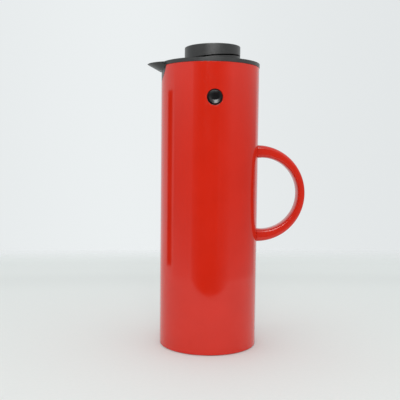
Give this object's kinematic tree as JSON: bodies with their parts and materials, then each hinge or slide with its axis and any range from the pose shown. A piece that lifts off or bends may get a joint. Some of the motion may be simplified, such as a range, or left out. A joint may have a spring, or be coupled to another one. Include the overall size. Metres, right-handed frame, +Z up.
{
  "type": "vacuum jug",
  "caption": "Tall cylindrical vacuum jug with a glass flask, pouring collar, side release buttons, loop handle and a self-opening rocker stopper.",
  "frame": {"origin": "centre of the foot pad's rest face, on the body's axis", "axes": "+Z up along the body's axis, +X towards the handle, -X towards the spout, +Y to the right of a person pouring"},
  "size_m": [0.1642, 0.1006, 0.3059],
  "materials": {
    "red_plastic": "gloss moulded ABS",
    "black_plastic": "satin moulded",
    "gloss_black_plastic": "gloss moulded",
    "black_rubber": "matt",
    "grey_rubber": "matt",
    "clear_silicone": "satin",
    "flask_glass": "silvered inside",
    "spacer_pad": "matt pad",
    "steel": "brushed"
  },
  "bodies": {
    "jug": {"shell": "red_plastic", "handle": "red_plastic", "handle_screws": "steel", "base_cap": "black_plastic", "base_gasket": "black_rubber", "foot_pad": "black_rubber", "flask_outer_glass": "flask_glass", "flask_inner_glass": "flask_glass", "flask_spacers": "spacer_pad", "flask_cushion": "grey_rubber", "centering_ring": "grey_rubber", "neck_gasket": "clear_silicone", "collar": "black_plastic", "button_retainer_left": "black_plastic", "button_retainer_right": "black_plastic", "button_spring_left": "steel", "button_spring_right": "steel"},
    "stopper": {"stopper_base": "black_plastic", "stopper_gasket": "clear_silicone", "hinge_axle": "steel"},
    "rocker": {"rocker_cap": "black_plastic", "valve_stem": "steel", "valve_disc": "black_plastic", "valve_seal": "clear_silicone", "counterweight": "steel", "weight_nut": "steel"},
    "button_left": {"release_button_left": "gloss_black_plastic"},
    "button_right": {"release_button_right": "gloss_black_plastic"}
  },
  "joints": [
    {"name": "stopper_lift", "type": "slide", "parent": "jug", "child": "stopper", "axis": [0, 0, 1], "range_m": [0, 0.08]},
    {"name": "rocker_tilt", "type": "hinge", "parent": "stopper", "child": "rocker", "pos_m": [0.022, 0, 0.2952], "axis": [0, 1, 0], "range_deg": [0, 6]},
    {"name": "button_left_press", "type": "slide", "parent": "jug", "child": "button_left", "axis": [0, 1, 0], "range_m": [0, 0.0032], "stiffness_N_per_m": 900, "springref_m": -0.0012, "deforming": ["button_spring_left"]},
    {"name": "button_right_press", "type": "slide", "parent": "jug", "child": "button_right", "axis": [0, -1, 0], "range_m": [0, 0.0032], "stiffness_N_per_m": 900, "springref_m": -0.0012, "deforming": ["button_spring_right"]}
  ]
}
